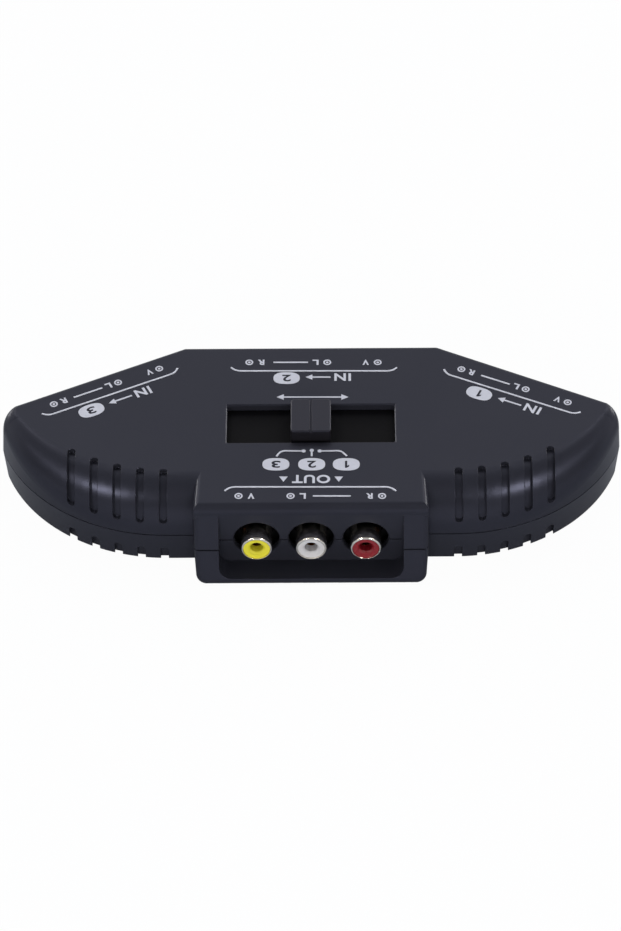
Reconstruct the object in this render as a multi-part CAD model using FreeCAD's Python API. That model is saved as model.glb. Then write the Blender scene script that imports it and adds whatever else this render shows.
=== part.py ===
import FreeCAD
import Part
import math
import os
from FreeCAD import Placement, Rotation, Vector

# Three-way audio video selector: a fan-shaped box with three input panels at the back, one output
# panel in a block at the front, and a knob that slides in a slot on top.
# Millimetres. The front is towards -Y, and the box stands on Z = 0. Everything is drawn with Y = 0 on
# the front wall, and moved at the end so that the origin is in the middle of the underside.

# Case, seen from above
case_depth = 57.8            # front wall to back wall
back_half_width = 33.6       # middle to the corner of the straight back wall
slant_angle = 26.2           # turn of the slanted walls from the back wall, degrees
side_radius = 45.8           # round front sides
side_centre_x = 37.2
corner_radius = 5.0          # outer corners, between round side and slanted wall
back_corner_radius = 1.6

# Case, heights and walls
case_height = 21.0
seam_height = 9.8            # where the two shells meet
upper_lean = 0.9             # front and round walls lean out by this from the top down to the seam,
lower_lean = 0.8             # and back in by this from the seam down to the underside
wall = 2.0
floor_thickness = 1.6
front_shoulder = 11.0        # large rounding of the top edge at the front
side_shoulder = 4.8          # the same edge where it reaches the outer corner
back_edge_radius = 1.2
bottom_edge_radius = 0.6
least_radius = 0.3           # what is left of a rounding inside the walls
seam_lip = 1.2               # height of the inner lip that centres the shells
seam_clearance = 0.1
reveal_height = 0.35         # shadow line cut into the lower shell along the seam
reveal_depth = 0.5

# Output block at the front
block_root_y = 10.0          # where its sides leave the shoulder
block_root_half_width = 29.6
block_front_half_width = 30.35
block_taper = 0.8            # how much the lower half narrows down to the underside
block_side_edge = 1.3
block_bottom_edge = 2.7
block_front_edge = 2.5
block_cheek_edge = 1.4
recess_wall_y = -2.7
block_front_angle = 22.5     # lean of the block's front
recess_half_width = 23.7
recess_floor = 2.2
recess_corner = 3.0

# Grooves in both shells
groove_first_x = 38.0
groove_pitch = 6.0
groove_count = 5
groove_width = 2.05
groove_depth = 1.25
groove_top_run = 0.9         # how far a groove reaches past the shoulder onto the flat top
groove_end_gap = 3.3         # seam to the end of the upper grooves
lower_groove_gap = 5.1       # seam to the start of the lower grooves
lower_groove_reach = 4.5     # foot of the wall to the back of the tool that cuts a lower groove

# Slot, knob and shutter
slot_offset = 0.95           # slot behind the middle between the output wall and the back wall
slot_length = 43.8
slot_width = 13.9
slot_corner = 0.6
slot_chamfer = 0.3
knob_length = 10.5
knob_width = 12.2
knob_proud = 3.0             # knob above the case
knob_corner = 0.9
knob_edge = 0.4
knob_groove = 0.5
knob_notch = 1.6
position_pitch = 15.0        # knob travel from one position to the next
shutter_thickness = 0.9
shutter_gap = 0.3            # under the top wall and beside the guides
shutter_lap = 1.6            # how far the shutter reaches past the slot
guide_rib = 1.0
guide_depth = 1.8

# Jacks
jack_pitch = 14.0
jack_proud = 3.6             # sleeve beyond the panel
jack_hole_radius = 5.85
jack_hole_chamfer = 0.35
sleeve_radius = 4.0
sleeve_bore = 3.5
sleeve_length = 9.5
sleeve_edge = 0.42
flange_radius = 5.0
flange_thickness = 0.5
insert_clearance = 0.05
insert_set_back = 0.35       # insert behind the sleeve's front edge
insert_bore = 1.65
insert_countersink = 0.5
socket_radius = 2.25
socket_clearance = 0.05
socket_reach = 7.0           # length of the centre socket inside the insert
body_depth = 9.5
body_half_height = 5.4
body_end = 7.0               # end of a jack body from its last jack
body_chamfer = 0.5
tail_width = 1.6
tail_thickness = 0.5
tail_clearance = 0.1
tail_below_board = 1.0
contact_tail_width = 1.0

# Board
board_thickness = 1.2
board_gap = 1.6              # floor to the underside of the board
board_inset = 5.9            # outside of the case to the board's edge, level with the jack bodies
board_tongue_clearance = 1.0 # between the tongue and the sides of the recess
post_across = 14.0           # posts under the selector, on both sides of the middle
post_forward = 0.9           # and in front of the slot's middle
board_post_radius = 2.2
spigot_radius = 1.1          # on each post, through a hole in the board
spigot_clearance = 0.1

# Screws and their pillars
pillar_radius = 3.5
boss_radius = 4.2
screw_radius = 1.25
screw_head_radius = 2.4
screw_head_height = 1.7
screw_head_round = 0.85
screw_length = 9.0
screw_clearance = 0.15
pilot_clearance = 0.02       # the plain shank in its pilot hole
pilot_spare_depth = 1.0
head_pocket_radius = 2.7
head_pocket_depth = 2.1
cross_depth = 1.0
cross_width = 0.7
cross_length = 2.6
front_screw = (36.0, 8.5)    # across from the middle of the front wall, and behind it
slant_screw = (17.0, -21.6)  # along from the middle of a slanted wall, and out of it
back_screw = (-8.6, -10.2)   # from the corner between back wall and slanted wall

# Selector inside the case
carriage_length = 24.0
carriage_half_width = 7.8
carriage_height = 4.0
carriage_lift = 1.75         # underside of the carriage above the board
tongue_reach = 1.1
tongue_thickness = 1.6
slide_clearance = 0.1
side_clearance = 0.25
frame_half_width = 10.5
frame_height = 6.6
frame_end = 3.4
frame_end_gap = 0.6
frame_screw_radius = 1.0
frame_screw_head_radius = 1.8
frame_screw_head_height = 1.0
frame_screw_head_round = 0.5
frame_cross_depth = 0.7
frame_cross_length = 2.1
frame_screw_length = 5.5
frame_screw_y = 7.6
tower_length = 10.0
tower_width = 8.0
post_length = 6.4
post_width = 4.8
post_height = 3.2
post_clearance = 0.05
track_thickness = 0.1
track_width = 1.4
track_offset = 1.4           # from the middle of a pole to its strip and to its pads
pole_pitch = 4.6
pad_length = 9.0
wiper_thickness = 0.2
wiper_width = 1.2
wiper_plate_length = 6.0
wiper_reach = 3.6            # plate to the contact point of a finger
wiper_tip = 1.0
contact_gap = 0.03
detent_depth = 0.6
detent_width = 1.8
detent_gap = 0.05
detent_leaf = 0.3
detent_half_length = 5.5
detent_bow = 1.4
detent_height = 1.8

# Heights that follow from the sizes above
board_underside = floor_thickness + board_gap
board_top = board_underside + board_thickness
inner_top = case_height - wall
shutter_top = inner_top - shutter_gap
shutter_bottom = shutter_top - shutter_thickness
carriage_bottom = board_top + carriage_lift
carriage_top = carriage_bottom + carriage_height
travel = position_pitch
slot_y = (recess_wall_y + case_depth) / 2 + slot_offset

same_place = 0.01            # two edges or points nearer than this count as one place

# The block's slanted front: its foot on the underside, and its foremost point above the rounded edge
front_slope = math.tan(math.radians(block_front_angle))
front_foot_y = recess_wall_y - front_slope * (case_height - block_front_edge)
lip_front_y = front_foot_y + block_cheek_edge * (front_slope + math.hypot(1, front_slope) - 1)

# Sizes along the axis of a jack, from the panel's outer face, outward positive
body_front = jack_proud - sleeve_length
body_back = body_front - body_depth
flange_back = body_front - flange_thickness

parts = {}


def box(x_range, y_range, z_range):
    """Block between two values on each axis."""
    corner = Vector(x_range[0], y_range[0], z_range[0])
    return Part.makeBox(x_range[1] - x_range[0], y_range[1] - y_range[0], z_range[1] - z_range[0], corner)


def runs_along(edge, direction):
    """Whether an edge points nearer to a direction than to any square to it."""
    return abs(edge.tangentAt(edge.FirstParameter).dot(direction)) > math.sqrt(0.5)


def upright(radius, x, y, z_range):
    """Vertical cylinder."""
    return Part.makeCylinder(radius, z_range[1] - z_range[0], Vector(x, y, z_range[0]))


def along_y(radius, x, y_range, z=0.0):
    """Cylinder along +Y."""
    return Part.makeCylinder(radius, y_range[1] - y_range[0], Vector(x, y_range[0], z), Vector(0, 1, 0))


def prism(points, direction):
    """Straight prism on a flat polygon."""
    return Part.Face(Part.makePolygon(points + points[:1])).extrude(direction)


def round_rectangle(half_x, half_y, radius, z_range, middle_y=0.0):
    """Upright block with rounded vertical edges."""
    block = box((-half_x, half_x), (middle_y - half_y, middle_y + half_y), z_range)
    upright_edges = [edge for edge in block.Edges if runs_along(edge, Vector(0, 0, 1))]
    return block.makeFillet(radius, upright_edges)


def fused(shapes):
    """One solid from touching or overlapping shapes."""
    return shapes[0].multiFuse(shapes[1:]).removeSplitter()


# The outline of the case is a loop of runs. A run is a line or an arc with three control points. Each
# has the direction in which it moves when the outline shrinks, its rounding radius, and its share of the
# walls' lean.

def line_run(start, end, edge, share):
    direction = (end - start).normalize()
    inward = Vector(-direction.y, direction.x, 0)
    middle = (start + end) * 0.5
    return {"points": [start, middle, end], "inward": [inward] * 3, "weight": 1.0,
            "edges": [edge] * 3, "share": [share] * 3}


def arc_run(centre, radius, start_angle, end_angle, edges, share):
    half_turn = (end_angle - start_angle) / 2
    weight = math.cos(half_turn)
    inward = []
    for angle, stretch in ((start_angle, 1.0), (start_angle + half_turn, 1 / weight), (end_angle, 1.0)):
        inward.append(Vector(-math.cos(angle), -math.sin(angle), 0) * stretch)
    points = [centre - direction * radius for direction in inward]
    return {"points": points, "inward": inward, "weight": weight, "edges": edges, "share": share}


def mirrored_run(run):
    """The same run on the other side of the middle plane, still counterclockwise."""
    def flip(vector):
        return Vector(-vector.x, vector.y, vector.z)
    return {"points": [flip(point) for point in reversed(run["points"])],
            "inward": [flip(direction) for direction in reversed(run["inward"])],
            "weight": run["weight"],
            "edges": list(reversed(run["edges"])),
            "share": list(reversed(run["share"]))}


def lean(z):
    """How far the leaning walls stand outside their line at the top, at a height."""
    if z > seam_height:
        return upper_lean * (case_height - z) / (case_height - seam_height)
    return upper_lean - lower_lean * (seam_height - z) / seam_height


def outline_point(run, index, inset, z):
    """Control point of a run, moved inward by inset and placed at a height."""
    inward = run["inward"][index] * (inset - run["share"][index] * lean(z))
    return run["points"][index] + inward + Vector(0, 0, z)


def slant_frame():
    """Directions out of and along the right slanted wall."""
    angle = math.radians(slant_angle)
    return Vector(math.sin(angle), math.cos(angle), 0), Vector(math.cos(angle), -math.sin(angle), 0)


def fan_runs(inset):
    """Outline of the case, moved inward by inset, counterclockwise from the front wall."""
    outward, along = slant_frame()
    side_centre = Vector(side_centre_x, side_radius, 0)
    radius = side_radius - inset
    slant_distance = outward.dot(Vector(back_half_width, case_depth, 0)) - inset
    corner = max(corner_radius - inset, 2 * least_radius)
    back_corner = max(back_corner_radius - inset, 2 * least_radius)
    edge = max(back_edge_radius - inset, least_radius)
    front = max(front_shoulder - inset, edge)
    side = min(max(side_shoulder - inset, edge), corner - least_radius / 2)

    # Outer corner: tangent to the round side and to the slanted wall
    across = slant_distance - corner - outward.dot(side_centre)
    forward = math.sqrt((radius - corner) ** 2 - across ** 2)
    corner_centre = side_centre + along * forward + outward * across
    corner_start = math.atan2(corner_centre.y - side_centre.y, corner_centre.x - side_centre.x)
    slant_direction = math.atan2(outward.y, outward.x)

    # Back corner: tangent to the slanted wall and to the back wall
    back_y = case_depth - inset
    centre_y = back_y - back_corner
    centre_x = (slant_distance - back_corner - outward.y * centre_y) / outward.x
    back_centre = Vector(centre_x, centre_y, 0)

    front_line = line_run(Vector(-side_centre_x, inset, 0), Vector(side_centre_x, inset, 0), front, 1.0)
    right = [
        arc_run(side_centre, radius, -math.pi / 2, corner_start, [front, front, side], [1.0] * 3),
        arc_run(corner_centre, corner, corner_start, slant_direction, [side, (side + edge) / 2, edge],
                [1.0, 0.7, 0.0]),
        line_run(corner_centre + outward * corner, back_centre + outward * back_corner, edge, 0.0),
        arc_run(back_centre, back_corner, slant_direction, math.pi / 2, [edge] * 3, [0.0] * 3),
    ]
    back_start = right[-1]["points"][2]
    back_line = line_run(back_start, Vector(-back_start.x, back_start.y, 0), edge, 0.0)
    left = [mirrored_run(run) for run in reversed(right)]
    return [front_line] + right + [back_line] + left


def surface(rows, row_weights, run):
    """Face through rows of three control points, bent like the run along its length."""
    weights = [1.0, run["weight"], 1.0]
    poles = [[row[i] for row in rows] for i in range(3)]
    net = [[weights[i] * row_weight for row_weight in row_weights] for i in range(3)]
    degree = len(rows) - 1
    patch = Part.BSplineSurface()
    patch.buildFromPolesMultsKnots(poles, [3, 3], [degree + 1, degree + 1], [0.0, 1.0], [0.0, 1.0],
                                   False, False, 2, degree, net)
    return patch.toShape()


def plan_curve(run, insets, z):
    """Edge along a run, each control point moved inward by its own distance."""
    curve = Part.BSplineCurve()
    poles = [outline_point(run, i, insets[i], z) for i in range(3)]
    curve.buildFromPolesMultsKnots(poles, [3, 3], [0.0, 1.0], False, 2, [1.0, run["weight"], 1.0])
    return curve.toShape()


def shouldered_solid(runs, bottom, top, bottom_edge):
    """Solid on a closed outline, with its top edge rounded as the runs say and its bottom edge evenly."""
    quarter = [1.0, math.sqrt(0.5), 1.0]
    straight = [1.0, 1.0]
    faces = []
    for run in runs:
        def row(insets, heights):
            return [outline_point(run, i, insets[i], heights[i]) for i in range(3)]
        level = [0.0] * 3
        top_low = row(level, [top - edge for edge in run["edges"]])
        top_corner = row(level, [top] * 3)
        top_inner = row(run["edges"], [top] * 3)
        middle = row(level, [seam_height] * 3)
        low_high = row(level, [bottom + bottom_edge] * 3)
        low_corner = row(level, [bottom] * 3)
        low_inner = row([bottom_edge] * 3, [bottom] * 3)
        faces.append(surface([top_low, top_corner, top_inner], quarter, run))
        faces.append(surface([middle, top_low], straight, run))
        faces.append(surface([low_high, middle], straight, run))
        faces.append(surface([low_inner, low_corner, low_high], quarter, run))
    top_wire = Part.Wire([plan_curve(run, run["edges"], top) for run in runs])
    low_wire = Part.Wire([plan_curve(run, [bottom_edge] * 3, bottom) for run in runs])
    faces += [Part.Face(top_wire), Part.Face(low_wire)]
    shell = Part.Shell(faces)
    shell.sewShape()
    solid = Part.Solid(shell)
    if solid.Volume < 0:
        solid.reverse()
    return solid


def fan(inset, bottom=0.0):
    bottom_edge = max(bottom_edge_radius - inset, least_radius)
    return shouldered_solid(fan_runs(inset), bottom, case_height - inset, bottom_edge)


def block_section(half_width, y, inset, bottom):
    """Cross-section of the output block: a rounded box that narrows below the seam."""
    half = half_width - inset
    top = case_height - inset
    top_edge = max(block_side_edge - inset, least_radius)
    low_edge = max(block_bottom_edge - inset, least_radius)
    low_half = half - block_taper * (seam_height - bottom) / seam_height
    turn = math.atan2(half - low_half, seam_height - bottom)
    # The lower corner's arc is tangent to the underside and to the tapering side
    centre_x = low_half + low_edge * math.tan(turn) - low_edge / math.cos(turn)
    centre_z = bottom + low_edge
    right = [
        Vector(centre_x, y, bottom),
        Vector(centre_x + low_edge * math.sin((math.pi / 2 - turn) / 2), y,
               centre_z - low_edge * math.cos((math.pi / 2 - turn) / 2)),
        Vector(centre_x + low_edge * math.cos(turn), y, centre_z - low_edge * math.sin(turn)),
        Vector(half, y, seam_height),
        Vector(half, y, top - top_edge),
        Vector(half - top_edge * (1 - math.sqrt(0.5)), y, top - top_edge * (1 - math.sqrt(0.5))),
        Vector(half - top_edge, y, top),
    ]
    left = [Vector(-point.x, point.y, point.z) for point in right]
    edges = [
        Part.makeLine(left[0], right[0]),
        Part.Arc(right[0], right[1], right[2]).toShape(),
        Part.makeLine(right[2], right[3]),
        Part.makeLine(right[3], right[4]),
        Part.Arc(right[4], right[5], right[6]).toShape(),
        Part.makeLine(right[6], left[6]),
        Part.Arc(left[6], left[5], left[4]).toShape(),
        Part.makeLine(left[4], left[3]),
        Part.makeLine(left[3], left[2]),
        Part.Arc(left[2], left[1], left[0]).toShape(),
    ]
    return Part.Wire(edges)


def block_side_prism(inset, bottom):
    """Side view of the block: slanted front below a rounded top edge."""
    half = block_front_half_width + wall
    edge = max(block_front_edge - inset, least_radius)
    wall_y = recess_wall_y + inset
    top = case_height - inset
    low_y = front_foot_y + inset * math.hypot(1, front_slope) + front_slope * bottom
    high_y = low_y + front_slope * (top - edge - bottom)
    reach = block_root_y + front_shoulder
    points = [
        Vector(-half, reach, bottom),
        Vector(-half, low_y, bottom),
        Vector(-half, min(high_y, wall_y), top - edge),
        Vector(-half, wall_y, top - edge),
        Vector(-half, wall_y + edge * (1 - math.sqrt(0.5)), top - edge * (1 - math.sqrt(0.5))),
        Vector(-half, wall_y + edge, top),
        Vector(-half, reach, top),
    ]
    edges = [Part.makeLine(points[0], points[1]), Part.makeLine(points[1], points[2])]
    if points[2].distanceToPoint(points[3]) > same_place:
        edges.append(Part.makeLine(points[2], points[3]))
    edges.append(Part.Arc(points[3], points[4], points[5]).toShape())
    edges += [Part.makeLine(points[5], points[6]), Part.makeLine(points[6], points[0])]
    return Part.Face(Part.Wire(edges)).extrude(Vector(2 * half, 0, 0))


def recess_space(inset):
    """Open space of the output recess, grown by inset."""
    half = recess_half_width + inset
    low = recess_floor - inset
    space = box((-half, half), (2 * lip_front_y, recess_wall_y + inset), (low, case_height + wall))
    low_edges = [edge for edge in space.Edges
                 if runs_along(edge, Vector(0, 1, 0)) and edge.CenterOfMass.z < low + same_place]
    return space.makeFillet(recess_corner + inset, low_edges)


def block(inset, bottom=0.0):
    flare = (block_front_half_width - block_root_half_width) / (block_root_y - lip_front_y)
    reach = block_root_y + front_shoulder
    front_y = lip_front_y - wall
    widths = [(block_front_half_width + flare * wall, front_y),
              (block_root_half_width - flare * front_shoulder, reach)]
    sections = [block_section(half_width, y, inset, bottom) for half_width, y in widths]
    body = Part.makeLoft(sections, True, True).common(block_side_prism(inset, bottom))
    if inset == 0:
        body = body.makeFillet(block_cheek_edge, cheek_edges(body))
    return body.cut(recess_space(inset))


def cheek_edges(body):
    """The long edges between the block's sides and its slanted front. The rounding runs on from them
    around the lower corners and under the lip."""
    found = []
    for edge in body.Edges:
        middle = edge.CenterOfMass
        on_front = abs(middle.y - front_foot_y - front_slope * middle.z) < same_place
        beside_recess = abs(middle.x) > recess_half_width
        if on_front and beside_recess and runs_along(edge, Vector(0, 0, 1)):
            found.append(edge)
    return found


def envelope(inset, bottom=0.0):
    """The whole case as one solid, moved inward by inset."""
    return fan(inset, bottom).fuse(block(inset, bottom)).removeSplitter()


def slab(low, high):
    reach = 2 * (side_centre_x + side_radius)
    return box((-reach, reach), (-reach, reach), (low, high))


# Panels: where each group of three jacks sits, and how it is turned

def panel_placements():
    outward, along = slant_frame()
    slanted = fan_runs(0.0)[3]["points"]
    middle = (slanted[0] + slanted[2]) * 0.5
    places = {
        "output": (Vector(0, recess_wall_y, 0), 180.0),
        "input_1": (middle, -slant_angle),
        "input_2": (Vector(0, case_depth, 0), 0.0),
        "input_3": (Vector(-middle.x, middle.y, 0), slant_angle),
    }
    return {name: Placement(Vector(point.x, point.y, seam_height), Rotation(Vector(0, 0, 1), angle))
            for name, (point, angle) in places.items()}


panels = panel_placements()
channels = {"video": jack_pitch, "left": 0.0, "right": -jack_pitch}


def placed(shape, placement):
    moved = shape.copy()
    moved.Placement = placement.multiply(moved.Placement)
    return moved


def jack_hole_tools():
    """Chamfered holes for the jacks in all four panels."""
    tools = []
    for placement in panels.values():
        for x in channels.values():
            hole = along_y(jack_hole_radius, x, (-2 * wall, wall))
            mouth = Part.makeCone(jack_hole_radius, jack_hole_radius + 2 * jack_hole_chamfer,
                                  2 * jack_hole_chamfer, Vector(x, -jack_hole_chamfer, 0), Vector(0, 1, 0))
            tools.append(placed(hole.fuse(mouth), placement))
    return tools


def screw_points():
    """Middles of the six case screws."""
    slanted = panels["input_1"].multVec(Vector(slant_screw[0], slant_screw[1], 0))
    back = (back_half_width + back_screw[0], case_depth + back_screw[1])
    return [(side * x, y) for x, y in (front_screw, (slanted.x, slanted.y), back) for side in (1, -1)]


def board_post_points():
    return [(side * post_across, slot_y - post_forward) for side in (1, -1)]


# Grooves

def stadium(x, low, high, normal, across):
    """Upright slot shape with a round end at low, extruded along normal."""
    half = groove_width / 2
    start = Vector(x, 0, 0) + across * (low + half)
    end = Vector(x, 0, 0) + across * high
    side = Vector(half, 0, 0)
    edges = [
        Part.Arc(start - side, start - across * half, start + side).toShape(),
        Part.makeLine(start + side, end + side),
        Part.makeLine(end + side, end - side),
        Part.makeLine(end - side, start - side),
    ]
    return Part.Face(Part.Wire(edges)).extrude(normal)


def shoulder_start(x):
    """Y of the edge between the flat top and the front shoulder, above x."""
    run = fan_runs(0.0)[1]
    curve = plan_curve(run, run["edges"], case_height)
    line = Part.makeLine(Vector(x, -side_radius, case_height), Vector(x, side_radius, case_height))
    near = line.distToShape(curve)[1][0][0]
    return near.y


def groove_tools():
    """Upper and lower grooves, cut from outside down to a skin parallel to the outer one."""
    core = fan(groove_depth, -wall)
    reach = case_height
    depth = Vector(0, 2 * side_radius, 0)
    upper, lower = [], []
    for index in range(groove_count):
        x = groove_first_x + index * groove_pitch
        top_end = shoulder_start(x) + groove_top_run
        plan = stadium(x, -top_end, reach, Vector(0, 0, reach), Vector(0, -1, 0))
        plan.translate(Vector(0, 0, seam_height))
        front = stadium(x, seam_height + groove_end_gap, 2 * reach, depth, Vector(0, 0, 1))
        front.translate(Vector(0, -reach, 0))
        upper.append(plan.common(front).cut(core))
        wall_y = side_radius - math.sqrt(side_radius ** 2 - max(x - side_centre_x, 0.0) ** 2)
        lower_end = wall_y + lower_groove_reach
        under = stadium(x, -lower_end, reach, Vector(0, 0, seam_height), Vector(0, -1, 0))
        low_front = stadium(x, lower_groove_gap - seam_height, reach, depth, Vector(0, 0, -1))
        low_front.translate(Vector(0, -reach, 0))
        lower.append(under.common(low_front).cut(core))
    return with_mirror(upper), with_mirror(lower)


def with_mirror(shapes):
    return shapes + [shape.mirror(Vector(0, 0, 0), Vector(1, 0, 0)) for shape in shapes]


# Case

def make_case():
    outside = envelope(0.0)
    inside = envelope(wall, floor_thickness)
    lip_outer = envelope(wall / 2, wall / 2)
    lip_inner = envelope(wall / 2 + seam_clearance, wall / 2)
    reveal = outside.common(slab(seam_height - reveal_height, seam_height)).cut(envelope(reveal_depth))
    upper_grooves, lower_grooves = groove_tools()
    holes = jack_hole_tools()
    make_upper_case(outside, inside, lip_outer, upper_grooves, holes)
    make_lower_case(outside, inside, lip_inner, reveal, lower_grooves, holes)


def make_upper_case(outside, inside, lip_outer, grooves, holes):
    """Upper shell: skin, screw pillars, shutter guides, slot, jack holes and grooves."""
    above = slab(seam_height, 2 * case_height)
    skin = outside.common(above).cut(inside)
    rebate = lip_outer.common(slab(0, seam_height + seam_lip + seam_clearance))
    skin = skin.cut(rebate)
    pillars = [upright(pillar_radius, x, y, (board_top, case_height)) for x, y in screw_points()]
    pillars = [pillar.common(lip_outer) for pillar in pillars]
    guide_x = slot_length / 2 + 2 * travel + shutter_lap
    guide_y = slot_width / 2 + shutter_lap + shutter_gap
    guides = []
    for side in (1, -1):
        y_range = sorted((slot_y + side * guide_y, slot_y + side * (guide_y + guide_rib)))
        guides.append(box((-guide_x, guide_x), y_range, (inner_top - guide_depth, inner_top + wall / 2)))
    body = fused([skin] + pillars + guides)
    pilot_top = head_pocket_depth + screw_length + pilot_spare_depth
    pilots = [upright(screw_radius + pilot_clearance, x, y, (0, pilot_top)) for x, y in screw_points()]
    slot_heights = (inner_top - wall, 2 * case_height)
    slot = round_rectangle(slot_length / 2, slot_width / 2, slot_corner, slot_heights, slot_y)
    body = body.cut(Part.makeCompound(pilots)).cut(slot).cut(slot_mouth())
    body = body.cut(Part.makeCompound(holes)).cut(Part.makeCompound(grooves))
    parts["upper_case"] = body.removeSplitter()


def slot_mouth():
    """Chamfer around the slot."""
    wires = []
    for grow, z in ((0.0, case_height - slot_chamfer), (2 * slot_chamfer, case_height + slot_chamfer)):
        half_x = slot_length / 2 + grow
        half_y = slot_width / 2 + grow
        corners = [Vector(-half_x, slot_y - half_y, z), Vector(half_x, slot_y - half_y, z),
                   Vector(half_x, slot_y + half_y, z), Vector(-half_x, slot_y + half_y, z)]
        wires.append(Part.makePolygon(corners + corners[:1]))
    return Part.makeLoft(wires, True, True)


def make_lower_case(outside, inside, lip_inner, reveal, grooves, holes):
    """Lower shell: skin with its inner lip, screw bosses, board posts, jack holes and grooves."""
    below = slab(-case_height, seam_height)
    skin = outside.common(below).cut(inside).cut(reveal)
    lip = lip_inner.common(slab(seam_height - seam_lip, seam_height + seam_lip)).cut(inside)
    rooted = (floor_thickness / 2, board_underside)
    bosses = [upright(boss_radius, x, y, rooted) for x, y in screw_points()]
    for x, y in board_post_points():
        bosses.append(upright(board_post_radius, x, y, rooted))
        bosses.append(upright(spigot_radius, x, y, (floor_thickness / 2, board_top - spigot_clearance)))
    body = fused([skin, lip] + bosses)
    pockets = []
    for x, y in screw_points():
        pockets.append(upright(head_pocket_radius, x, y, (-wall, head_pocket_depth)))
        pockets.append(upright(screw_radius + screw_clearance, x, y, (-wall, case_height)))
    body = body.cut(Part.makeCompound(pockets))
    body = body.cut(Part.makeCompound(holes)).cut(Part.makeCompound(grooves))
    parts["lower_case"] = body.removeSplitter()


def pan_screw(radius, length, head, cross):
    """Pan-head screw with a cross recess, standing on its head: the shank points up from Z = 0."""
    head_radius, head_height, head_round = head
    cross_length, cross_depth = cross
    shank = Part.makeCylinder(radius, length - radius)
    point = Part.makeCone(radius, radius / 2, radius, Vector(0, 0, length - radius))
    disc = Part.makeCylinder(head_radius, head_height, Vector(0, 0, -head_height))
    low_edge = [edge for edge in disc.Edges if edge.BoundBox.ZMax < same_place - head_height]
    disc = disc.makeFillet(head_round, low_edge)
    half_length = cross_length / 2
    half_width = cross_width / 2
    z_range = (-2 * head_height, cross_depth - head_height)
    slot = box((-half_length, half_length), (-half_width, half_width), z_range)
    slot = slot.fuse(box((-half_width, half_width), (-half_length, half_length), z_range))
    return fused([disc, shank, point]).cut(slot)


def screws_at(screw, points, z):
    places = [Placement(Vector(x, y, z), Rotation()) for x, y in points]
    return Part.makeCompound([placed(screw, place) for place in places])


def make_case_screws():
    head = (screw_head_radius, screw_head_height, screw_head_round)
    screw = pan_screw(screw_radius, screw_length, head, (cross_length, cross_depth))
    parts["case_screws"] = screws_at(screw, screw_points(), head_pocket_depth)


# Jacks, drawn with the axis of the middle jack along +Y and Y = 0 on the panel's outer face

def sleeve(x):
    """Drawn metal tube with a flange at its root and a solder tail."""
    front = jack_proud
    tube = along_y(sleeve_radius, x, (body_front, front))
    outer_edge = [edge for edge in tube.Edges if edge.BoundBox.YMin > front - same_place]
    tube = tube.makeFillet(sleeve_edge, outer_edge)
    flange = along_y(flange_radius, x, (flange_back, body_front))
    tail_end = board_underside - tail_below_board - seam_height
    tail = box((x - tail_width / 2, x + tail_width / 2), (flange_back, flange_back + tail_thickness),
               (tail_end, -sleeve_bore - insert_clearance))
    bore = along_y(sleeve_bore, x, (flange_back - wall, front + wall))
    return fused([tube, flange, tail]).cut(bore)


def insert(x):
    """Coloured insulator with the hole for a plug's pin, bored out at the back for the socket."""
    front = jack_proud - insert_set_back
    outer = along_y(sleeve_bore - insert_clearance, x, (flange_back, front))
    bore = along_y(insert_bore, x, (body_back, front + wall))
    mouth = Part.makeCone(insert_bore, insert_bore + 2 * insert_countersink, 2 * insert_countersink,
                          Vector(x, front - insert_countersink, 0), Vector(0, 1, 0))
    socket_space = along_y(socket_radius + socket_clearance, x, (body_back, flange_back + socket_reach))
    return outer.cut(bore).cut(mouth).cut(socket_space)


def contact(x):
    """Rolled bronze socket for a plug's pin, with a tail down to the board."""
    tube = along_y(socket_radius, x, (body_back, flange_back + socket_reach))
    tail_end = board_underside - tail_below_board - seam_height
    half = contact_tail_width / 2
    plate = box((x - half, x + half), (body_back - tail_thickness, body_back), (tail_end, socket_radius))
    bore = along_y(insert_bore, x, (body_back - wall, flange_back + socket_reach + wall))
    return fused([tube, plate]).cut(bore)


def jack_body():
    """Moulded housing for three jacks: pockets for the flanges and tails, bores for the sockets."""
    half = jack_pitch + body_end
    low = board_top - seam_height
    body = box((-half, half), (body_back, body_front), (low, body_half_height))
    chamfered = [edge for edge in body.Edges if edge.CenterOfMass.z > body_half_height - same_place]
    body = body.makeChamfer(body_chamfer, chamfered)
    tools = []
    for x in channels.values():
        pocket_radius = flange_radius + tail_clearance
        tools.append(along_y(pocket_radius, x, (flange_back, body_front + wall)))
        tools.append(box((x - tail_width / 2 - tail_clearance, x + tail_width / 2 + tail_clearance),
                         (flange_back, body_front + wall), (low - wall, 0)))
        tools.append(along_y(socket_radius + socket_clearance, x, (body_back - wall, body_front)))
    return body.cut(Part.makeCompound(tools)).removeSplitter()


def make_jacks():
    for panel, placement in panels.items():
        parts[panel + "_jack_body"] = placed(jack_body(), placement)
        for channel, x in channels.items():
            parts[panel + "_" + channel + "_sleeve"] = placed(sleeve(x), placement)
            parts[panel + "_" + channel + "_insert"] = placed(insert(x), placement)
            parts[panel + "_" + channel + "_contact"] = placed(contact(x), placement)


# Board and its copper

def frame_screw_points():
    x = travel + carriage_length / 2 + frame_end_gap + frame_end / 2
    return [(side * x, slot_y + end * frame_screw_y) for side in (1, -1) for end in (1, -1)]


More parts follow.
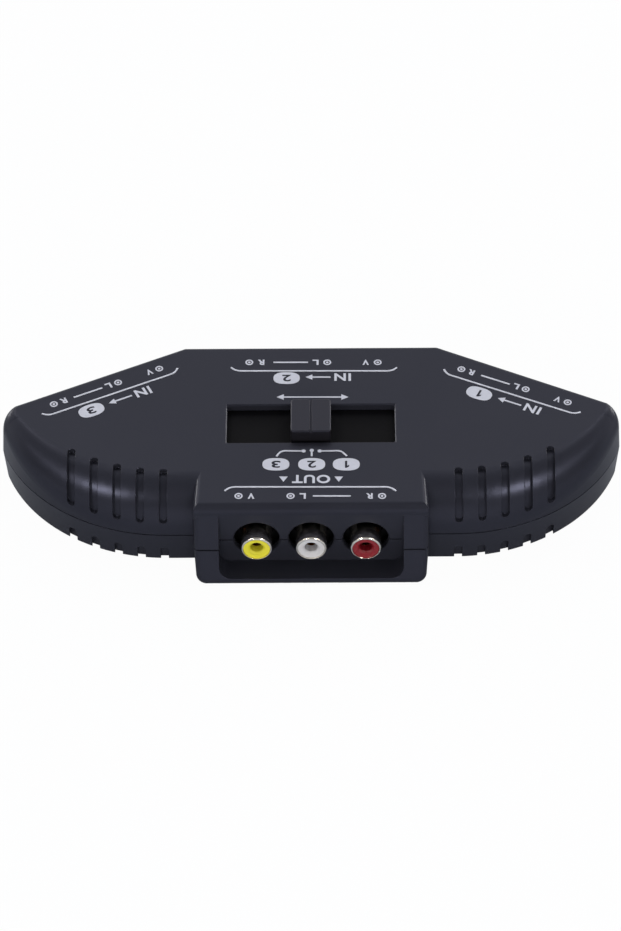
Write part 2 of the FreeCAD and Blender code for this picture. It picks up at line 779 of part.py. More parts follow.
def make_board():
    runs = fan_runs(board_inset)
    outline = Part.Face(Part.Wire([plan_curve(run, [0.0] * 3, board_underside) for run in runs]))
    plate = outline.extrude(Vector(0, 0, board_thickness))
    tongue_half = recess_half_width - board_tongue_clearance
    tongue_front = recess_wall_y + board_inset
    tongue_back = board_inset + wall
    tongue = box((-tongue_half, tongue_half), (tongue_front, tongue_back), (board_underside, board_top))
    plate = fused([plate, tongue])
    through = (board_underside - wall, board_top + wall)
    holes = [upright(screw_radius + screw_clearance, x, y, through) for x, y in screw_points()]
    holes += [upright(frame_screw_radius + screw_clearance, x, y, through) for x, y in frame_screw_points()]
    holes += [upright(spigot_radius + spigot_clearance, x, y, through) for x, y in board_post_points()]
    low, high = through[0] - seam_height, through[1] - seam_height
    for placement in panels.values():
        for x in channels.values():
            grow = tail_clearance
            sleeve_slot = box((x - tail_width / 2 - grow, x + tail_width / 2 + grow),
                              (flange_back - grow, flange_back + tail_thickness + grow), (low, high))
            half = contact_tail_width / 2 + grow
            contact_slot = box((x - half, x + half), (body_back - tail_thickness - grow, body_back + grow),
                               (low, high))
            holes += [placed(sleeve_slot, placement), placed(contact_slot, placement)]
    parts["circuit_board"] = plate.cut(Part.makeCompound(holes)).removeSplitter()


def pole_middle(index):
    return slot_y + index * pole_pitch


def make_tracks():
    """One common strip and three position pads for each of the three signals."""
    strips = []
    z_range = (board_top, board_top + track_thickness)
    contact_x = wiper_plate_length / 2 + wiper_reach
    for index in (-1, 0, 1):
        for offset in (track_offset, -track_offset):
            y = pole_middle(index) + offset
            y_range = (y - track_width / 2, y + track_width / 2)
            if offset > 0:
                half = travel + pad_length / 2
                strips.append(box((contact_x - half, contact_x + half), y_range, z_range))
                continue
            for stop in (-travel, 0.0, travel):
                middle = contact_x + stop
                strips.append(box((middle - pad_length / 2, middle + pad_length / 2), y_range, z_range))
    parts["contact_tracks"] = Part.makeCompound(strips)


# Selector

def tongue_half_width():
    return carriage_half_width + tongue_reach


def make_switch_frame():
    """Two guide rails joined by end bars. The rails hold the carriage's tongues down, and one of them
    has a notch for each position."""
    inner_end = travel + carriage_length / 2 + frame_end_gap
    outer_end = inner_end + frame_end
    z_range = (board_top, board_top + frame_height)
    frame = box((-outer_end, outer_end), (slot_y - frame_half_width, slot_y + frame_half_width), z_range)
    gap = carriage_half_width + side_clearance
    channel = box((-inner_end, inner_end), (slot_y - gap, slot_y + gap), (board_top - wall, case_height))
    tongue_gap = tongue_half_width() + side_clearance
    notch_floor = carriage_bottom + tongue_thickness + slide_clearance
    tongue_space = box((-inner_end, inner_end), (slot_y - tongue_gap, slot_y + tongue_gap),
                       (carriage_bottom - slide_clearance, notch_floor))
    tools = [channel, tongue_space]
    notch_y = slot_y + gap
    for stop in (-travel, 0.0, travel):
        corners = [Vector(stop - detent_width, notch_y - detent_depth, notch_floor),
                   Vector(stop + detent_width, notch_y - detent_depth, notch_floor),
                   Vector(stop, notch_y + detent_depth, notch_floor)]
        tools.append(prism(corners, Vector(0, 0, case_height)))
    for x, y in frame_screw_points():
        pilot_radius = frame_screw_radius + pilot_clearance
        pilot_top = board_underside + frame_screw_length + slide_clearance
        tools.append(upright(pilot_radius, x, y, (board_top - wall, pilot_top)))
    parts["switch_frame"] = frame.cut(Part.makeCompound(tools)).removeSplitter()


def make_frame_screws():
    head = (frame_screw_head_radius, frame_screw_head_height, frame_screw_head_round)
    screw = pan_screw(frame_screw_radius, frame_screw_length, head, (frame_cross_length, frame_cross_depth))
    parts["frame_screws"] = screws_at(screw, frame_screw_points(), board_underside)


def make_carriage():
    """Slide with a tongue on each side, a pocket for the detent leaf, and a tower and post for the knob."""
    half = carriage_length / 2
    body = box((-half, half), (slot_y - carriage_half_width, slot_y + carriage_half_width),
               (carriage_bottom, carriage_top))
    tongues = box((-half, half), (slot_y - tongue_half_width(), slot_y + tongue_half_width()),
                  (carriage_bottom, carriage_bottom + tongue_thickness))
    tower = box((-tower_length / 2, tower_length / 2), (slot_y - tower_width / 2, slot_y + tower_width / 2),
                (carriage_top - wall, shutter_bottom))
    post = box((-post_length / 2, post_length / 2), (slot_y - post_width / 2, slot_y + post_width / 2),
               (shutter_bottom, shutter_top + post_height))
    body = fused([body, tongues, tower, post])
    pocket_half = detent_half_length + side_clearance
    pocket_low = carriage_bottom + tongue_thickness + slide_clearance
    pocket = box((-pocket_half, pocket_half), (detent_root_y(), slot_y + 2 * carriage_half_width),
                 (pocket_low, case_height))
    pocket = pocket.common(box((-half, half), (slot_y + tower_width / 2, slot_y + 2 * carriage_half_width),
                               (pocket_low, carriage_top + wall)))
    parts["selector_carriage"] = body.cut(pocket).removeSplitter()


def detent_tip_y():
    return slot_y + carriage_half_width + side_clearance - detent_gap


def detent_root_y():
    return detent_tip_y() - detent_bow - detent_leaf


def make_detent_spring():
    """Bowed leaf in the carriage, drawn pressed in to the crest of the notches."""
    half = detent_half_length
    root, tip = detent_root_y(), detent_tip_y()
    z = carriage_bottom + tongue_thickness + 2 * slide_clearance
    inner = [Vector(-half, root, z), Vector(0, tip - detent_leaf, z), Vector(half, root, z)]
    outer = [point + Vector(0, detent_leaf, 0) for point in inner]
    edges = [
        Part.makeLine(inner[0], outer[0]),
        Part.Arc(outer[0], outer[1], outer[2]).toShape(),
        Part.makeLine(outer[2], inner[2]),
        Part.Arc(inner[2], inner[1], inner[0]).toShape(),
    ]
    parts["detent_spring"] = Part.Face(Part.Wire(edges)).extrude(Vector(0, 0, detent_height))


def make_wipers():
    """Each wiper joins a common strip to one pad: a plate under the carriage and two sprung fingers."""
    for index, channel in enumerate(("right", "left", "video")):
        y = pole_middle(index - 1)
        high = carriage_bottom
        low = high - wiper_thickness
        touch = board_top + track_thickness + contact_gap
        half = wiper_plate_length / 2
        plate_half_width = track_offset + wiper_width / 2
        plate = box((-half, half), (y - plate_half_width, y + plate_half_width), (low, high))
        bend = half + wiper_reach
        outline = [
            Vector(half - wiper_tip, 0, low),
            Vector(half, 0, low),
            Vector(bend, 0, touch),
            Vector(bend + wiper_tip, 0, touch + wiper_tip / 2),
            Vector(bend + wiper_tip, 0, touch + wiper_tip / 2 + wiper_thickness),
            Vector(bend, 0, touch + wiper_thickness),
            Vector(half, 0, high),
            Vector(half - wiper_tip, 0, high),
        ]
        fingers = []
        for offset in (track_offset, -track_offset):
            finger = prism(outline, Vector(0, wiper_width, 0))
            finger.translate(Vector(0, y + offset - wiper_width / 2, 0))
            fingers.append(finger)
        parts[channel + "_wiper"] = fused([plate] + fingers)


def make_shutter():
    half = slot_length / 2 + travel + shutter_lap
    half_width = slot_width / 2 + shutter_lap
    strip = round_rectangle(half, half_width, knob_corner, (shutter_bottom, shutter_top), slot_y)
    opening = box((-post_length / 2 - post_clearance, post_length / 2 + post_clearance),
                  (slot_y - post_width / 2 - post_clearance, slot_y + post_width / 2 + post_clearance),
                  (shutter_bottom - wall, shutter_top + wall))
    parts["slot_shutter"] = strip.cut(opening)


def make_knob():
    """Flat-topped knob with a groove across its top, a notch at each end of it, and a socket for the
    carriage's post."""
    top = case_height + knob_proud
    knob = round_rectangle(knob_length / 2, knob_width / 2, knob_corner, (shutter_top, top), slot_y)
    top_edges = [edge for edge in knob.Edges if edge.BoundBox.ZMin > top - same_place]
    knob = knob.makeFillet(knob_edge, top_edges)
    y_range = (slot_y - knob_width, slot_y + knob_width)
    groove = box((-knob_groove / 2, knob_groove / 2), y_range, (top - knob_groove, top + wall))
    tools = [groove]
    for side in (1, -1):
        y = slot_y + side * knob_width / 2
        half = knob_notch / 2
        high = top + same_place
        corners = [Vector(-half, y, high), Vector(half, y, high), Vector(0, y, top - half)]
        outer = prism(corners, Vector(0, side * wall, 0))
        point = Vector(0, y - side * half, high)
        tools += [outer, pyramid(corners, point)]
    socket = box((-post_length / 2 - post_clearance, post_length / 2 + post_clearance),
                 (slot_y - post_width / 2 - post_clearance, slot_y + post_width / 2 + post_clearance),
                 (shutter_top - wall, shutter_top + post_height + post_clearance))
    tools.append(socket)
    parts["selector_knob"] = knob.cut(Part.makeCompound(tools)).removeSplitter()


def pyramid(corners, point):
    faces = [Part.Face(Part.makePolygon(corners + corners[:1]))]
    for start, end in zip(corners, corners[1:] + corners[:1]):
        faces.append(Part.Face(Part.makePolygon([start, end, point, start])))
    return Part.Solid(Part.Shell(faces))


make_case()
make_case_screws()
make_jacks()
make_board()
make_tracks()
make_switch_frame()
make_frame_screws()
make_carriage()
make_detent_spring()
make_wipers()
make_shutter()
make_knob()

# The origin goes to the middle of the underside, between the lip's front and the input sleeves' ends
overall_front = lip_front_y
overall_back = case_depth + jack_proud
origin_shift = Vector(0, -(overall_front + overall_back) / 2, 0)

os.makedirs("parts", exist_ok=True)
for name, shape in parts.items():
    shape.translate(origin_shift)
    shape.exportStep(os.path.join("parts", name + ".step"))
    print(name, len(shape.Solids), shape.isValid(), round(shape.Volume, 1))
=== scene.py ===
import math

import bmesh
import bpy
from mathutils import Matrix, Vector
from mathutils.geometry import interpolate_bezier


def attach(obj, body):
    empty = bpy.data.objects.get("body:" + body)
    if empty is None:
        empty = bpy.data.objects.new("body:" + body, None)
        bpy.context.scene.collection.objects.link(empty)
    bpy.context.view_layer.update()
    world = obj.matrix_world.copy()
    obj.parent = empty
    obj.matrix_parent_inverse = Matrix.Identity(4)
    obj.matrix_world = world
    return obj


# Three-way audio video selector: a low fan-shaped box of black ABS that stands on its flat underside.
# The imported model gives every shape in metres. This script gives each piece its finish, prints the
# legends on top, and sets up the studio. The front, with the output jacks, faces -Y.

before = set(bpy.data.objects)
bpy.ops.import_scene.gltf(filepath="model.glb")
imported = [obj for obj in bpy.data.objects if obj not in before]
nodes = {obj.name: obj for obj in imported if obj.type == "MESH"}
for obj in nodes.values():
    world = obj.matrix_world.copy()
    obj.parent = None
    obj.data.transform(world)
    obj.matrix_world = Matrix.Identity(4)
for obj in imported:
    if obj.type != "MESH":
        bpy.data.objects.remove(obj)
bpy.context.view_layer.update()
MM = 0.001


# --- Case -----------------------------------------------------------------------------------------
# Two shells of black ABS, injection moulded in a spark-eroded tool and screwed together from below.
# The eroded tool leaves a fine even grain, so the black is satin and its highlights are soft.

CASE_BLACK, CASE_CLOUDY = "#25262E", "#282931"
ABS_SHEEN = "#D2D7FF"        # tint of the plastic's cool reflection
ABS_IOR = 1.53
GRAIN = 0.3                  # mm, coarser than the real 0.1 mm, which is too fine to show
CLOUD = 22                   # mm, size of the faint clouds in tone and gloss
SOFT_EDGE = 0.25             # mm, rounding that moulding leaves on every edge
NOISE_LOW, NOISE_HIGH = 0.3, 0.7          # most of a noise's values lie between these
MIX_A, MIX_B, MIX_RESULT = 6, 7, 2        # colour sockets of a Mix node


def linear(hex_colour):
    """Linear RGBA of an sRGB hex colour."""
    channels = [int(hex_colour[i:i + 2], 16) / 255 for i in (1, 3, 5)]
    return [c / 12.92 if c <= 0.04045 else ((c + 0.055) / 1.055) ** 2.4 for c in channels] + [1.0]


def add(tree, kind, inputs=(), **settings):
    """Add one node. inputs are pairs of a socket and a value, or an output socket to link."""
    node = tree.nodes.new(kind)
    for name, value in settings.items():
        setattr(node, name, value)
    for socket, value in inputs:
        if isinstance(value, bpy.types.NodeSocket):
            tree.links.new(value, node.inputs[socket])
        else:
            node.inputs[socket].default_value = value
    return node


def blank(name):
    """New material with an empty node tree."""
    material = bpy.data.materials.new(name)
    material.use_nodes = True
    material.node_tree.nodes.clear()
    return material, material.node_tree


def moulded(name, colour, cloudy, relief=0.006, roughness=(0.28, 0.34), gloss=()):
    """Moulded plastic: grain of the tool with its relief in mm, faint clouds, softened edges."""
    material, tree = blank(name)
    place = add(tree, "ShaderNodeTexCoord").outputs["Object"]
    grain = add(tree, "ShaderNodeTexNoise", [("Vector", place), ("Scale", 1 / (GRAIN * MM)),
                ("Detail", 2.0)])
    cloud = add(tree, "ShaderNodeTexNoise", [("Vector", place), ("Scale", 1 / (CLOUD * MM)),
                ("Detail", 4.0)])
    rough = add(tree, "ShaderNodeMapRange", [("Value", cloud.outputs["Fac"]), ("From Min", NOISE_LOW),
                ("From Max", NOISE_HIGH), ("To Min", roughness[0]), ("To Max", roughness[1])])
    tone = add(tree, "ShaderNodeMix", [("Factor", cloud.outputs["Fac"]), (MIX_A, linear(colour)),
               (MIX_B, linear(cloudy))], data_type="RGBA")
    soft = add(tree, "ShaderNodeBevel", [("Radius", SOFT_EDGE * MM)], samples=4)
    bump = add(tree, "ShaderNodeBump", [("Height", grain.outputs["Fac"]), ("Distance", relief * MM),
               ("Normal", soft.outputs["Normal"])])
    shader = add(tree, "ShaderNodeBsdfPrincipled", [("Base Color", tone.outputs[MIX_RESULT]),
                 ("Roughness", rough.outputs["Result"]), ("Normal", bump.outputs["Normal"]), *gloss])
    add(tree, "ShaderNodeOutputMaterial", [("Surface", shader.outputs["BSDF"])])
    return material


def dress(material, *names):
    """Give CAD nodes their finish."""
    for name in names:
        for slot in nodes[name].material_slots:
            slot.material = material


case_abs = moulded("black_abs_spark_eroded", CASE_BLACK, CASE_CLOUDY,
                   gloss=[("IOR", ABS_IOR), ("Specular IOR Level", 0.17),
                          ("Specular Tint", linear(ABS_SHEEN))])
dress(case_abs, "upper_case", "lower_case")


# --- Knob and shutter -----------------------------------------------------------------------------
# The knob is a small ABS moulding with one groove. It is darker than the case, and its finer grain and
# the touch of fingers give it a broader sheen. The shutter is a strip of matt plastic that closes the
# slot below the knob. Its near-black colour and faint gloss are painted shade for the inside of the
# slot, so it shows as a nearly even black.

knob_abs = moulded("black_abs_handled_knob", "#18171B", "#1C1B1F", relief=0.004, roughness=(0.36, 0.44),
                   gloss=[("IOR", ABS_IOR), ("Specular IOR Level", 0.27),
                          ("Specular Tint", linear(ABS_SHEEN))])
dress(knob_abs, "selector_knob")

# Near-black colour and faint gloss: painted shade for the inside of the slot
shutter_painted_shade = moulded("shutter_strip_painted_shade", "#030308", "#05050B", relief=0.004,
                          roughness=(0.55, 0.65), gloss=[("IOR", 1.5), ("Specular IOR Level", 0.07)])
dress(shutter_painted_shade, "slot_shutter")


# --- Jacks ----------------------------------------------------------------------------------------
# Each phono jack has a drawn and nickel-plated ground sleeve, a coloured insulator pressed into it,
# and a bronze socket for the plug's pin. Three of them sit in one black moulded body.

PANELS = ("output", "input_1", "input_2", "input_3")
HAZE = 1.5                   # mm, size of the faint clouds in a plated surface
DRAW_LINE = 0.25             # mm, spacing of the marks from drawing, coarse enough to show
DRAW_DEPTH = 0.0012          # mm, their depth
METAL_EDGE = 0.1             # mm, rounding of a metal edge
INSERT_COLOURS = {"video": ("yellow", "#E3DA38", "#DDD434"), "left": ("white", "#CFCED2", "#C8C7CB"),
                  "right": ("red", "#851A25", "#7D1620")}


def plated(name, colour, roughness):
    """Plated or bare metal: drawing lines and faint clouding in the gloss."""
    material, tree = blank(name)
    place = add(tree, "ShaderNodeTexCoord").outputs["Object"]
    haze = add(tree, "ShaderNodeTexNoise", [("Vector", place), ("Scale", 1 / (HAZE * MM)),
               ("Detail", 3.0)])
    lines = add(tree, "ShaderNodeTexNoise", [("Vector", place), ("Scale", 1 / (DRAW_LINE * MM)),
                ("Detail", 1.0)])
    rough = add(tree, "ShaderNodeMapRange", [("Value", haze.outputs["Fac"]), ("From Min", NOISE_LOW),
                ("From Max", NOISE_HIGH), ("To Min", roughness[0]), ("To Max", roughness[1])])
    soft = add(tree, "ShaderNodeBevel", [("Radius", METAL_EDGE * MM)], samples=4)
    bump = add(tree, "ShaderNodeBump", [("Height", lines.outputs["Fac"]), ("Distance", DRAW_DEPTH * MM),
               ("Normal", soft.outputs["Normal"])])
    shader = add(tree, "ShaderNodeBsdfPrincipled", [("Base Color", linear(colour)), ("Metallic", 1.0),
                 ("Roughness", rough.outputs["Result"]), ("Normal", bump.outputs["Normal"])])
    add(tree, "ShaderNodeOutputMaterial", [("Surface", shader.outputs["BSDF"])])
    return material


# Bright plate mirrors the studio in thin white rims, and rolled bronze is warm and a little duller
nickel = plated("bright_nickel_plate", "#E2DDD6", (0.12, 0.22))
bronze = plated("phosphor_bronze_strip", "#C9935A", (0.2, 0.32))
# The bodies come from a polished tool, so the throats round the sleeves are a clean glossy black
body_plastic = moulded("black_abs_gloss_moulding", "#101013", "#141417", relief=0.003,
                       roughness=(0.3, 0.4), gloss=[("IOR", ABS_IOR)])
# The insulators are smooth and through-coloured, with a small clear highlight
inserts = {channel: moulded(f"glossy_{word}_insert", main, other, relief=0.002, roughness=(0.22, 0.3),
                            gloss=[("IOR", 1.5)])
           for channel, (word, main, other) in INSERT_COLOURS.items()}
for panel in PANELS:
    dress(body_plastic, f"{panel}_jack_body")
    for channel, insert in inserts.items():
        dress(nickel, f"{panel}_{channel}_sleeve")
        dress(insert, f"{panel}_{channel}_insert")
        dress(bronze, f"{panel}_{channel}_contact")


# --- Board and selector ---------------------------------------------------------------------------
# A phenolic board with copper strips carries the jacks. Its near-black colour is painted shade for the
# dark inside of the case. The selector's frame is screwed to it and guides a slide of natural acetal
# with three bronze wipers and a bowed steel leaf.

FIBRE = 1.2                  # mm, spacing of the streaks along X
FIBRE_STRETCH = 5.0          # how much closer they lie across it
FIBRE_RELIEF = 0.004         # mm


def phenolic():
    """Phenolic paper, near black as painted shade for the inside of the case: its fibres show as faint
    lighter streaks.
    """
    material, tree = blank("phenolic_board_painted_shade")
    place = add(tree, "ShaderNodeTexCoord").outputs["Object"]
    along = add(tree, "ShaderNodeMapping", [("Vector", place),
                ("Scale", (1.0, FIBRE_STRETCH, FIBRE_STRETCH))])
    fibre = add(tree, "ShaderNodeTexNoise", [("Vector", along.outputs["Vector"]),
                ("Scale", 1 / (FIBRE * MM)), ("Detail", 4.0)])
    # Near-black tone: painted shade for the dark inside of the case. The lighter streaks are the fibres
    tone = add(tree, "ShaderNodeMix", [("Factor", fibre.outputs["Fac"]), (MIX_A, linear("#0E0D0C")),
               (MIX_B, linear("#16130F"))], data_type="RGBA")
    bump = add(tree, "ShaderNodeBump", [("Height", fibre.outputs["Fac"]),
               ("Distance", FIBRE_RELIEF * MM)])
    shader = add(tree, "ShaderNodeBsdfPrincipled", [("Base Color", tone.outputs[MIX_RESULT]),
                 ("Roughness", 0.42), ("IOR", 1.55), ("Normal", bump.outputs["Normal"])])
    add(tree, "ShaderNodeOutputMaterial", [("Surface", shader.outputs["BSDF"])])
    return material


# Acetal looks waxy and off-white. Copper, spring steel and zinc plate are duller than the nickel
acetal = moulded("natural_acetal", "#E6E3D8", "#DDD9CC", relief=0.003, roughness=(0.35, 0.45),
                 gloss=[("IOR", 1.48)])
copper = plated("bare_copper_strip", "#C98F6A", (0.25, 0.4))
spring = plated("spring_steel_leaf", "#B9BBBE", (0.25, 0.38))
zinc = plated("zinc_plated_screw_steel", "#B4B5B8", (0.3, 0.45))
dress(phenolic(), "circuit_board")
dress(copper, "contact_tracks")
dress(body_plastic, "switch_frame")
dress(acetal, "selector_carriage")
dress(bronze, "video_wiper", "left_wiper", "right_wiper")
dress(spring, "detent_spring")
dress(zinc, "case_screws", "frame_screws")


# --- Legends --------------------------------------------------------------------------------------
# Pad-printed in pale grey-white ink on the flat top, and read from the back. Each input has a number
# in an oval under a bracket, and lines lead from the slot's three positions to the same numbers.
# The words, letters and symbols are short general marks of this part's own.

INK = 0.03                   # thickness of the ink, mm
COAT = 0.8                   # mm, size of the thin and thick spots in its coat
LINE = 0.5                   # width of a printed line, mm
WELD = 0.001                 # mm, points closer than this become one
BOLD, BOLD_LETTER = 0.12, 0.1             # mm, what words and single letters are widened by
LETTER_SPACING = 1.1
CURVE_STEPS = 6              # straight steps along a letter's curve or a line's corner
LEAST_STEP = 0.002           # least step, against the height of the font
MITRE_LIMIT = 0.4
OVAL_POINTS = 48
HEAD_LENGTH = 0.9            # length of an arrow's head against its width
FLAT = (0, 0, 0)             # frame of the case itself: x, y in mm and the turn in degrees
LEVEL = 179.55               # turn of the print that reads straight from the back, degrees
top_z = nodes["upper_case"].bound_box[1][2] / MM


def ink_finish():
    """Satin ink film with a slightly uneven coat."""
    material, tree = blank("pad_printed_pale_ink")
    place = add(tree, "ShaderNodeTexCoord").outputs["Object"]
    coat = add(tree, "ShaderNodeTexNoise", [("Vector", place), ("Scale", 1 / (COAT * MM)),
               ("Detail", 3.0)])
    tone = add(tree, "ShaderNodeMix", [("Factor", coat.outputs["Fac"]), (MIX_A, linear("#CED1E0")),
               (MIX_B, linear("#BEC2D3"))], data_type="RGBA")
    shader = add(tree, "ShaderNodeBsdfPrincipled", [("Base Color", tone.outputs[MIX_RESULT]),
                 ("Roughness", 0.5), ("IOR", 1.5), ("Specular IOR Level", 0.3)])
    add(tree, "ShaderNodeOutputMaterial", [("Surface", shader.outputs["BSDF"])])
    return material


ink = ink_finish()


def line_tree():
    """Geometry nodes: a flat printed line with rounded corners along every path."""
    tree = bpy.data.node_groups.new("printed_line", "GeometryNodeTree")
    for name, kind in (("Paths", "Geometry"), ("Line width", "Float"), ("Corner radius", "Float"),
                       ("Ink thickness", "Float"), ("Ink", "Material")):
        tree.interface.new_socket(name, in_out="INPUT", socket_type=f"NodeSocket{kind}")
    tree.interface.new_socket("Lines", in_out="OUTPUT", socket_type="NodeSocketGeometry")
    given = add(tree, "NodeGroupInput")
    round_path = add(tree, "GeometryNodeFilletCurve", [("Curve", given.outputs["Paths"]),
                     ("Count", CURVE_STEPS), ("Radius", given.outputs["Corner radius"]),
                     ("Limit Radius", True)], mode="POLY")
    half = add(tree, "ShaderNodeMath", [(0, given.outputs["Line width"]), (1, 0.5)],
               operation="MULTIPLY")
    other = add(tree, "ShaderNodeMath", [(0, half.outputs[0]), (1, -1.0)], operation="MULTIPLY")
    start = add(tree, "ShaderNodeCombineXYZ", [("X", other.outputs[0])])
    end = add(tree, "ShaderNodeCombineXYZ", [("X", half.outputs[0])])
    across = add(tree, "GeometryNodeCurvePrimitiveLine", [("Start", start.outputs[0]),
                 ("End", end.outputs[0])])
    ribbon = add(tree, "GeometryNodeCurveToMesh", [("Curve", round_path.outputs[0]),
                 ("Profile Curve", across.outputs[0])])
    raised = add(tree, "GeometryNodeExtrudeMesh", [("Mesh", ribbon.outputs[0]),
                 ("Offset Scale", given.outputs["Ink thickness"]), ("Individual", False)],
                 mode="FACES")
    under = add(tree, "GeometryNodeFlipFaces", [("Mesh", ribbon.outputs[0])])
    both = add(tree, "GeometryNodeJoinGeometry", [("Geometry", raised.outputs[0])])
    tree.links.new(under.outputs[0], both.inputs[0])
    closed = add(tree, "GeometryNodeMergeByDistance", [("Geometry", both.outputs[0]),
                 ("Distance", WELD * MM)])
    real = add(tree, "GeometryNodeRealizeInstances", [("Geometry", closed.outputs[0])])
    coloured = add(tree, "GeometryNodeSetMaterial", [("Geometry", real.outputs[0]),
                   ("Material", given.outputs["Ink"])])
    add(tree, "NodeGroupOutput", [("Lines", coloured.outputs[0])])
    return tree


def set_input(modifier, name, value):
    """Set a modifier's input by its socket's identifier."""
    for item in modifier.node_group.interface.items_tree:
        if item.in_out == "INPUT" and item.name == name:
            modifier[item.identifier] = value


def shown(data, name):
    """New object in the scene."""
    holder = bpy.data.objects.new(name, data)
    bpy.context.scene.collection.objects.link(holder)
    return holder


def plain_mesh(holder):
    """Plain mesh of an evaluated object, which is then dropped."""
    bpy.context.view_layer.update()
    evaluated = holder.evaluated_get(bpy.context.evaluated_depsgraph_get())
    mesh = bpy.data.meshes.new_from_object(evaluated)
    bpy.data.objects.remove(holder)
    return mesh


def splines(paths, scale, closed):
    """Flat curve with one spline along each list of points."""
    curve = bpy.data.curves.new("print", "CURVE")
    curve.dimensions = "2D" if closed else "3D"
    for points in paths:
        spline = curve.splines.new("POLY")
        spline.points.add(len(points) - 1)
        for point, (x, y) in zip(spline.points, points):
            point.co = (x * scale, y * scale, 0.0, 1.0)
        spline.use_cyclic_u = closed
    return curve


LINES = line_tree()


def printed_lines(paths, corner=0.0):
    """Mesh of printed lines along paths of points, with the radius of their corners, in mm."""
    holder = shown(splines(paths, MM, False), "paths")
    modifier = holder.modifiers.new("lines", "NODES")
    modifier.node_group = LINES
    for name, value in (("Line width", LINE * MM), ("Corner radius", corner * MM),
                        ("Ink thickness", INK * MM), ("Ink", ink)):
        set_input(modifier, name, value)
    return plain_mesh(holder)


def printed(outlines):
    """Mesh of the print inside closed outlines in mm. An outline inside another one is bare."""
    curve = splines(outlines, 1.0, True)
    curve.fill_mode, curve.extrude = "BOTH", INK / 2
    mesh = plain_mesh(shown(curve, "print"))
    mesh.transform(Matrix.Diagonal((MM, MM, MM, 1)) @ Matrix.Translation((0, 0, INK / 2)))
    return mesh


def widened(outline, weight):
    """Outline moved to its right by the weight, with mitred corners."""
    moved = []
    for before, here, after in zip(outline[-1:] + outline[:-1], outline, outline[1:] + outline[:1]):
        normals = [(end - start).normalized().orthogonal()
                   for start, end in ((before, here), (here, after))]
        mitre = weight / max(1 + normals[0].dot(normals[1]), MITRE_LIMIT)
        moved.append(here - (normals[0] + normals[1]) * mitre)
    return moved


def word(letters, width, height, weight=BOLD):
    """Bold outlines of letters, fitted to a width and a height in mm round the origin."""
    text = bpy.data.curves.new("lettering", "FONT")
    text.body, text.space_character = letters, LETTER_SPACING
    holder = shown(text, "lettering")
    bpy.context.view_layer.update()
    outlines = []
    for spline in holder.to_curve(bpy.context.evaluated_depsgraph_get()).splines:
        knots, outline = list(spline.bezier_points), []
        for here, there in zip(knots, knots[1:] + knots[:1]):
            steps = interpolate_bezier(here.co, here.handle_right, there.handle_left, there.co,
                                       CURVE_STEPS)
            for point in steps[:-1]:
                if not outline or (point.xy - outline[-1]).length > LEAST_STEP:
                    outline.append(point.xy)
        outlines.append(outline)
    bpy.data.objects.remove(holder)
    low, high = ([pick(point[axis] for outline in outlines for point in outline) for axis in (0, 1)]
                 for pick in (min, max))
    size = (width - 2 * weight, height - 2 * weight)

    def fitted(point):
        """A point of the font, in its place in mm."""
        return Vector(((point[axis] - (low[axis] + high[axis]) / 2) * size[axis]
                       / (high[axis] - low[axis]) for axis in (0, 1)))

    return [widened([fitted(point) for point in outline], weight) for outline in outlines]


def oval(length, width, bend=1.0):
    """Flat oval. A bend below one fills out its corners."""
    points = []
    for i in range(OVAL_POINTS):
        x, y = math.cos(2 * math.pi * i / OVAL_POINTS), math.sin(2 * math.pi * i / OVAL_POINTS)
        points.append((math.copysign(abs(x) ** bend, x) * length / 2,
                       math.copysign(abs(y) ** bend, y) * width / 2))
    return points


def arrow(length, head, both_ways=False):
    """Arrow along +X, with its middle at the origin."""
    end, shaft = length / 2, LINE / 2
    neck = end - head * HEAD_LENGTH
    tip = [(neck, -shaft), (neck, -head / 2), (end, 0), (neck, head / 2), (neck, shaft)]
    if both_ways:
        return tip + [(-x, -y) for x, y in tip]
    return tip + [(-end, shaft), (-end, -shaft)]


legend = bmesh.new()


def stamp(mesh, frame_place, along=0.0, up=0.0):
    """Put a printed mesh on the top, in a frame given by x, y and its turn as read."""
    x, y, turn = frame_place
    place = Matrix.Translation((x * MM, y * MM, top_z * MM))
    mesh.transform(place @ Matrix.Rotation(math.radians(turn), 4, "Z")
                   @ Matrix.Translation((along * MM, up * MM, 0)))
    legend.from_mesh(mesh)
    bpy.data.meshes.remove(mesh)


OVAL = (6.95, 4.5, 0.8)      # length, width and bend of a number's oval
NUMBER = (2.3, 2.6)          # width and height of a number
LETTER = (1.6, 2.0)          # and of a channel's letter
RINGS = (2.1, 1.3, 0.7)      # diameters in the small symbol of a jack
BRACKET_CORNER = 3.2         # radius of a bracket's corners
# The built-in font draws its 1 as a plain bar, so this one has a flag
ONE = [(0.35, -1.3), (0.35, 1.3), (-0.1, 1.3), (-0.75, 0.8), (-0.75, 0.15), (-0.25, 0.5),
       (-0.25, -1.3)]


def numbered_oval(number):
    """Printed oval with its number left bare."""
    return printed([oval(*OVAL)] + ([ONE] if number == "1" else word(number, *NUMBER)))


def channel_row(frame_place, marks, up=0.0, spread=1.0):
    """Letters of the channels, each beside a small symbol of a jack."""
    for letter, letter_x, jack_x in marks:
        stamp(printed(word(letter, *LETTER, BOLD_LETTER)), frame_place, letter_x * spread, up)
        stamp(printed([oval(ring, ring) for ring in RINGS]), frame_place, jack_x * spread, up)


# Inputs. Lengths along and up are in the frame of each panel's bracket, whose middle is the origin
INPUT_MARKS = (("V", -13.7, -16.9), ("L", -0.4, -3.5), ("R", 14.0, 17.2))
INPUT_ROW_UP = -3.3
INPUT_DASH = (1.6, 10.8)     # line between the letters of the two sound channels
WORD_ALONG, ARROW_ALONG = -7.6, -1.1
WORD_DROP = 0.4              # how far the word and the arrow are below the oval's middle
FOOT_OUT, FOOT_DOWN = 1.3, 1.35           # how far a bracket's ends reach out and down
